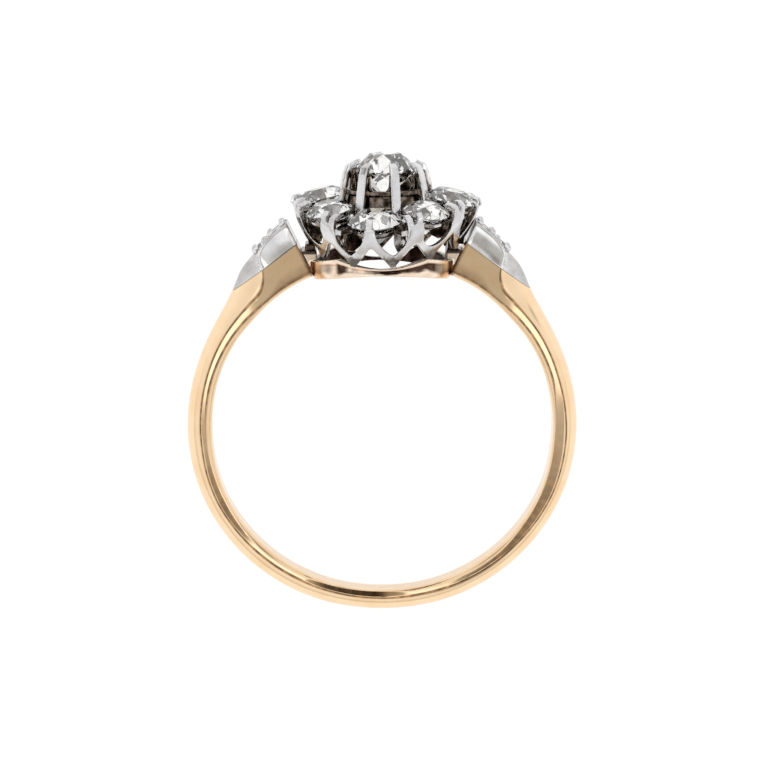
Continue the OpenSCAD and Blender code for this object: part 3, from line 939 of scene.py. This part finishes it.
def bar(places, widths, thickness):
    """A flat bar through (angle, radius, height) places, its broad side facing outwards."""
    points = [at_front(a, z, r) for a, r, z in places]
    rings = []
    for i, p in enumerate(points):
        run = (points[min(i + 1, len(points) - 1)] - points[max(i - 1, 0)]).normalized()
        t = math.radians(places[i][0])
        along = Vector((math.cos(t), math.sin(t), 0))
        along = (along - run * along.dot(run)).normalized()
        out = along.cross(run)
        b, n = along * widths[i] / 2, out * thickness / 2
        rings.append([p + b + n, p - b + n, p - b - n, p + b - n])
    return skin(rings)


def arch_outline():
    """A pointed arch between two feet of the coronet, open below."""
    apex, rounding, half = 9.6, 0.2, 0.86
    low, foot = WALL_LOW - 1, WALL_LOW + 0.05
    top = arc(0, apex - rounding, rounding, 20, 160, 13)
    return [(half, low), (half, foot)] + top + [(-half, foot), (-half, low)]


def side_outline(way):
    """The window beside the claw in the middle, wider above on that claw's side."""
    top = WALL_TOP + 1
    points = (
        [(-0.8, top), (-0.8, WALL_TOP)] + arc(0, 9.98, 0.6, 172, 222, 8) + arc(0, 9.3, 0.12, 228, 290, 5)
        + [(0.3, 9.38), (0.52, 9.58), (0.7, 9.8), (0.84, 10.02), (0.93, 10.25), (0.98, 10.45)]
        + [(1.02, WALL_TOP), (1.02, top)]
    )
    return [(way * u, v) for u, v in points]


def corner_outline():
    """The large round window under a corner stone, open above."""
    top, half = WALL_TOP + 1, 0.92
    return (
        [(half, top), (half, WALL_TOP)] + arc(0, 10.12, 0.82, 8, -188, 26)
        + [(-half, WALL_TOP), (-half, top)]
    )


def coronet_tree():
    """Sets a piece round the coronet's axis at even angles, then lets the ring of pieces arch."""
    tree, given, made = new_tree("round_the_coronet", {
        "Geometry": "Geometry", "Piece": "Object", "Count": "Int", "First Angle": "Float",
        "Arch Drop": "Float", "Metal": "Material",
    })
    nodes, links = tree.nodes, tree.links
    spots = nodes.new("GeometryNodePoints")
    links.new(given.outputs["Count"], spots.inputs["Count"])
    index = nodes.new("GeometryNodeInputIndex").outputs[0]
    pitch = maths(nodes, links, "DIVIDE", math.tau, given.outputs["Count"])
    first = maths(nodes, links, "MULTIPLY", given.outputs["First Angle"], math.pi / 180)
    turn = nodes.new("ShaderNodeCombineXYZ")
    angle = maths(nodes, links, "ADD", maths(nodes, links, "MULTIPLY", index, pitch), first)
    links.new(angle, turn.inputs["Z"])
    info = nodes.new("GeometryNodeObjectInfo")
    links.new(given.outputs["Piece"], info.inputs["Object"])
    stand, real = stand_on(tree, spots.outputs[0], info.outputs["Geometry"])
    links.new(turn.outputs[0], stand.inputs["Rotation"])
    split = nodes.new("ShaderNodeSeparateXYZ")
    links.new(nodes.new("GeometryNodeInputPosition").outputs[0], split.inputs[0])
    xx = maths(nodes, links, "POWER", split.outputs["X"], 2)
    yy = maths(nodes, links, "POWER", split.outputs["Y"], 2)
    share = maths(nodes, links, "DIVIDE", yy, maths(nodes, links, "ADD", xx, yy))
    fall = maths(nodes, links, "MULTIPLY", share, given.outputs["Arch Drop"])
    down = nodes.new("ShaderNodeCombineXYZ")
    links.new(maths(nodes, links, "MULTIPLY", fall, -1), down.inputs["Z"])
    arch = nodes.new("GeometryNodeSetPosition")
    links.new(real, arch.inputs["Geometry"])
    links.new(down.outputs[0], arch.inputs["Offset"])
    return end_tree(tree, arch.outputs[0], given, made)


CORONET_TREE = coronet_tree()


def around(part, count, first, drop):
    """Copies of a part round the coronet's axis, as (points, faces)."""
    source = raw_object("source", part)
    host = raw_object("host", ([(0, 0, 0)], []))
    ring = grown(host, CORONET_TREE, {
        "Piece": source, "Count": count, "First Angle": first, "Arch Drop": drop, "Metal": PLATINUM,
    })
    drop_object(source)
    return ring


def windows(outline, count, first):
    """Cutters for windows of an outline, at even angles round the wall."""
    return around(outline_prism(outline, CUT_FROM, CUT_TO), count, first, 0)


def pierced_wall():
    levels = np.linspace(WALL_LOW, WALL_TOP, 13)
    outside = [(wall_r(z) + WALL_T / 2, z) for z in levels]
    inside = [(wall_r(z) - WALL_T / 2, z) for z in levels[::-1]]
    rings = []
    for k in range(RING_STEPS):
        t = math.radians(360 / RING_STEPS * k + 0.4)
        rings.append([(r * math.sin(t), -r * math.cos(t), z) for r, z in outside + inside])
    arches = windows(arch_outline(), 12, 0)
    sides = joined([windows(side_outline(way), 4, -15.6 * way) for way in (1, -1)])
    corners = windows(corner_outline(), 4, 45)
    return cut_from(skin(rings, closed=True), [arches, sides, corners])


def junction_claw(corner_side):
    """Two prongs from one claw, over the diamonds at its two sides."""
    parts = []
    for side in (-1, 1):
        lean = side * 3.6
        tip_r = 4.06 if side == corner_side else 4.12
        places = [
            (lean * 0.5, wall_r(10.2), 10.2), (lean * 0.7, wall_r(10.6), 10.6), (lean, 4.54, 10.9),
            (lean * 1.2, tip_r + 0.2, 11.03), (lean * 1.3, tip_r, 11.03),
        ]
        parts.append(bar(places, [0.34, 0.32, 0.3, 0.27, 0.2], WALL_T * 0.9))
        parts.append(ball(at_front(lean * 1.3, 11.04, tip_r), 0.12))
        parts.append(ball(at_front(lean, 10.98, tip_r + 0.3), 0.14))
    return joined(parts)


def mid_claw():
    """The single claw over the middle of a front, side or back diamond."""
    tip_r, tip_z = 4.4, 10.96
    places = [
        (0, wall_r(9.9), 9.9), (0, wall_r(10.5), 10.5), (0, 4.7, 10.71), (0, 4.63, 10.88),
        (0, tip_r, tip_z),
    ]
    claw = bar(places, [0.36, 0.34, 0.34, 0.32, 0.26], WALL_T * 0.9)
    return joined([claw, ball(at_front(0, tip_z, tip_r), 0.14)])


def centre_claw():
    tip = [(GIRDLE_R + 0.36, 12.51), (GIRDLE_R + 0.02, GIRDLE_Z)]
    places = [(0, r, z) for r, z in CENTRE_BAR + tip]
    return bar(places, [0.46 * share for share in (1, 1, 1, 0.96, 0.9, 0.7)], 0.3)


def strut():
    places = [(0, 2.1, 10.52), (0, 3, 10.42), (0, 3.5, 10.36), (0, wall_r(10.3), 10.26)]
    return bar(places, [0.36, 0.8, 0.8, 0.4], 0.25)


def web():
    """The deep web under a strut, from the coronet's wall in to the centre's foot."""
    outline = [(-2.3, 10.5), (-3.9, 10.35), (-4.05, 9.75), (-3.7, 9.3), (-3.1, 9.2), (-2.3, 9.5)]
    return skin([[(x, y, z) for y, z in outline] for x in (-0.13, 0.13)])


def centre_cup():
    """The cup between the centre's claws, with a slot between each two of them."""
    loop = [
        (2.08, 10.4), (1.96, 11.0), (1.84, 11.7), (1.78, 12.2),
        (1.62, 12.2), (1.55, 11.7), (1.62, 11.0), (1.72, 10.4),
    ]
    half = 0.46
    slot = [(half, 12.6)] + arc(0, 11.75, half, 0, -180, 15) + [(-half, 12.6)]
    return cut_from(turned(loop, 96, 0.5), [around(outline_prism(slot, 1.2, 2.5), 8, 0, 0)])


def seat(k):
    """The bearing under the girdle of outer diamond k, close round its lower facets."""
    diameter, ring_r = MAIN_STONE if k % 2 else CORNER_STONE
    g = diameter / 2
    angle = math.radians(45 * (k - 1))
    drop = ARCH_DROP * math.cos(angle) ** 2
    lean = Matrix.Rotation(math.radians(STONE_TILT), 4, "X")
    stand = Matrix.Translation((0, -ring_r, STONE_Z - drop)) @ lean
    turn = Matrix.Rotation(angle, 4, "Z") @ stand
    profile = [
        (g * 0.86, -0.3), (g - 0.25, -0.3), (g - 0.47, -0.52), (g - 0.3, -0.62), (g * 0.86, -0.44),
    ]
    points, faces = turned(profile, 40)
    return [tuple(turn @ Vector(p)) for p in points], faces


def rail(height, inner, outer, depth):
    """A level ring round the centre that ties its claws together."""
    top = height + depth
    return turned([(outer, height), (outer, top), (inner, top), (inner, height)], 64)


def stone_planes(name):
    """Outward planes of a cut stone's facets, in metres."""
    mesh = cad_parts[name].data
    centre = np.mean([tuple(v.co) for v in mesh.vertices], axis=0)
    rows = []
    for face in mesh.polygons:
        n = np.array(face.normal)
        d = float(n @ np.array(face.center))
        if n @ centre > d:
            n, d = -n, -d
        rows.append((*n, d))
    return np.unique(np.round(np.array(rows), 7), axis=0), centre


def clear_of_stones(places, names):
    """Places moved out of the stones by the shortest way, so that metal stops at their facets."""
    places = np.array(places)
    for name in names:
        planes, centre = stone_planes(name)
        near = np.where(np.linalg.norm(places - centre, axis=1) < STONE_REACH)[0]
        depth = places[near] @ planes[:, :3].T - planes[:, 3]
        closest = depth.argmax(axis=1)
        worst = depth[np.arange(len(near)), closest]
        inside = worst < STONE_GAP
        rows = near[inside]
        places[rows] += planes[closest[inside], :3] * (STONE_GAP - worst[inside])[:, None]
    return places


def arched(points):
    """Points lowered at the front and back, as the cluster arches over the finger."""
    points = np.array(points, float)
    x, y, _ = points.T
    points[:, 2] -= ARCH_DROP * y**2 / (x**2 + y**2)
    return points


def coronet_painted_shade(points, faces):
    """Painted shade on the coronet: its inside, its hollows, the webs, the seats under the stones and
    the centre's foot, over a faint even grey.
    """
    bend, normals = hollows(points, faces)
    x, y, z = points.T
    r = np.hypot(x, y)
    outward = (normals[:, 0] * x + normals[:, 1] * y) / np.maximum(r, 1e-6)
    drop = ARCH_DROP * y**2 / np.maximum(r**2, 1e-6)
    level = z + drop
    low = np.clip((10.7 - level) / 0.5, 0, 1)
    inward = np.clip((0.6 - outward) / 0.4, 0, 1) * (r < 4.7)
    claw_r, claw_z = zip(*CENTRE_BAR, (GIRDLE_R, GIRDLE_Z))
    claw_line = np.interp(z, claw_z, claw_r)
    centre_in = (r < claw_line + 0.06) & (z < 12.3) & (z > 10.3)
    hollow_shade = np.clip(bend * 6 - 0.15, 0, 1)
    webs = (r < 4.0) & (r > 2.3) & (level < 10.2)
    wall_z = (WALL_FOOT_Z, 9.4, 9.9, 10.4, 11)
    wall = np.interp(level, wall_z, [wall_r(v) for v in wall_z])
    seats = (r < wall - 0.13) & (r > 2.6) & (level > 9.9) & (level < 10.74)
    total = inward * low + centre_in * 0.9 + webs * 0.78 + seats * 0.7 + hollow_shade * 0.65 + 0.1
    return np.clip(total, 0, 1)


def make_setting():
    wall_points, wall_faces = pierced_wall()
    parts = [(arched(wall_points), wall_faces)]
    parts.append(around(mid_claw(), 4, 0, ARCH_DROP))
    parts.append(around(junction_claw(1), 4, 28, ARCH_DROP))
    parts.append(around(junction_claw(-1), 4, -28, ARCH_DROP))
    parts.append(around(strut(), 8, 22.5, ARCH_DROP))
    parts.append(around(centre_claw(), 8, 22.5, 0))
    parts.append(around(web(), 8, 22.5, ARCH_DROP))
    parts.append(centre_cup())
    parts += [seat(k) for k in range(1, 9)]
    parts += [rail(10.25, 1.55, 2.36, 0.3), rail(11.2, 1.72, 2.1, 0.22)]
    points, faces = fused(parts, *CORONET_MELT)
    points = np.array(points)
    stones = ["centre_stone"] + [f"outer_stone_{k}" for k in range(1, 9)]
    finished(
        "pierced_coronet", clear_of_stones(laid(cluster_placed(points)), stones), faces, PLATINUM,
        coronet_painted_shade(points, faces), nodes=("cluster_setting",), share=THINNED_TO,
    )


make_shank()
make_plate(-1, "left")
make_plate(1, "right")
make_base()
make_setting()

for node_name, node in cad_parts.items():
    if "stone" in node_name:
        stone = SMALL_DIAMOND if node_name.startswith("shoulder") else DIAMOND
        node.data.materials.clear()
        node.data.materials.append(stone)


# The table, the light and the camera

def make_floor():
    mesh = bpy.data.meshes.new("table_top")
    half = 0.4
    corners = [(-half, -half, 0), (half, -half, 0), (half, half, 0), (-half, half, 0)]
    mesh.from_pydata(corners, [], [(0, 1, 2, 3)])
    material, nodes, links, shader = new_material("white_table")
    shade = mixed(nodes, links, noise_of(nodes, links, 30), (0.16, 0.16, 0.16, 1), (0.15, 0.15, 0.15, 1))
    links.new(shade, shader.inputs["Base Color"])
    shader.inputs["Roughness"].default_value = 0.9
    shader.inputs["Specular IOR Level"].default_value = 0.1
    shader.inputs["Emission Color"].default_value = (1, 1, 1, 1)
    shader.inputs["Emission Strength"].default_value = 0.91
    mesh.materials.append(material)
    in_scene("table_top", mesh)


def make_tent():
    """A white tent with soft boxes, grey cards, a dim patch at the camera and a dark one overhead."""
    world = bpy.data.worlds.new("white_tent")
    bpy.context.scene.world = world
    world.use_nodes = True
    nodes, links = world.node_tree.nodes, world.node_tree.links
    way = nodes.new("ShaderNodeTexCoord").outputs["Generated"]

    def patch(x_deg, y_deg, inner, outer):
        """1 within inner degrees of a direction and 0 past outer; 0, 0 is straight up."""
        x, y = math.radians(x_deg), math.radians(y_deg)
        aim = Vector((math.sin(x), math.sin(y), math.cos(x) * math.cos(y))).normalized()
        dot = add(nodes, "ShaderNodeVectorMath", operation="DOT_PRODUCT")
        links.new(way, dot.inputs[0])
        dot.inputs[1].default_value = aim
        low, high = math.cos(math.radians(outer)), math.cos(math.radians(inner))
        return ramped(nodes, links, dot.outputs["Value"], low, high)

    split = nodes.new("ShaderNodeSeparateXYZ")
    links.new(way, split.inputs[0])
    height = ramped(nodes, links, split.outputs["Z"], 0.1, 0.8)
    tone = mixed(nodes, links, height, (1.04, 1.04, 1.04, 1), (0.92, 0.92, 0.93, 1))
    below = ramped(nodes, links, split.outputs["Y"], 0.5, -0.7)
    rim = ramped(nodes, links, split.outputs["Z"], 0.35, 0.02)
    dim = maths(nodes, links, "MULTIPLY", below, rim)
    tone = mixed(nodes, links, dim, tone, (0.72, 0.68, 0.62, 1))
    # Rows of the soft boxes: the two angles of their direction, light, inner and outer radius.
    soft_boxes = (
        (-25, -9, 1.5, 7, 11), (25, -9, 1.5, 7, 11), (0, 38, 1.3, 8, 20), (-3, -39, 1.4, 12, 18),
    )
    for x_deg, y_deg, light, inner, outer in soft_boxes:
        tone = mixed(nodes, links, patch(x_deg, y_deg, inner, outer), tone, (light, light, light, 1))
    tone = mixed(nodes, links, patch(0, -15, 11, 21), tone, (0.56, 0.54, 0.5, 1))
    tone = mixed(nodes, links, patch(0, 0, 5, 13), tone, (0.05, 0.035, 0.025, 1))
    for x_deg, y_deg in ((58, 32), (-52, 42), (20, -58)):
        tone = mixed(nodes, links, patch(x_deg, y_deg, 5, 14), tone, (0.35, 0.34, 0.33, 1))
    background = nodes["Background"]
    links.new(tone, background.inputs["Color"])
    background.inputs["Strength"].default_value = 1.0


def make_camera():
    """The camera, placed about the upright ring and then laid down with it."""
    distance, yaw, rise, roll = 200, math.radians(-1), math.radians(9), math.radians(0.3)
    pixels, pixels_per_mm = 782, 20
    aim = Vector((0.44, 1.2, 0))
    back = Vector((math.sin(yaw) * math.cos(rise), -math.cos(yaw) * math.cos(rise), math.sin(rise)))
    right = Vector((math.cos(yaw), math.sin(yaw), 0))
    up = back.cross(right)
    turn = Matrix((right, up, back)).transposed() @ Matrix.Rotation(-roll, 3, "Z")
    target = turn @ aim
    stand = Matrix.Translation(target + back * distance) @ turn.to_4x4()
    lay = Matrix.Translation((0, REST_Y, REST_Z)) @ Matrix.Rotation(math.radians(REST_TILT - 90), 4, "X")
    place = lay @ stand
    place.translation *= MM
    data = bpy.data.cameras.new("camera")
    data.sensor_width = 36
    data.lens = 36 * distance / (pixels / pixels_per_mm)
    data.clip_start = 0.01
    data.clip_end = 5
    camera = in_scene("camera", data)
    camera.matrix_world = place
    bpy.context.scene.camera = camera


make_floor()
make_tent()
make_camera()
bpy.context.scene.view_settings.view_transform = "Standard"
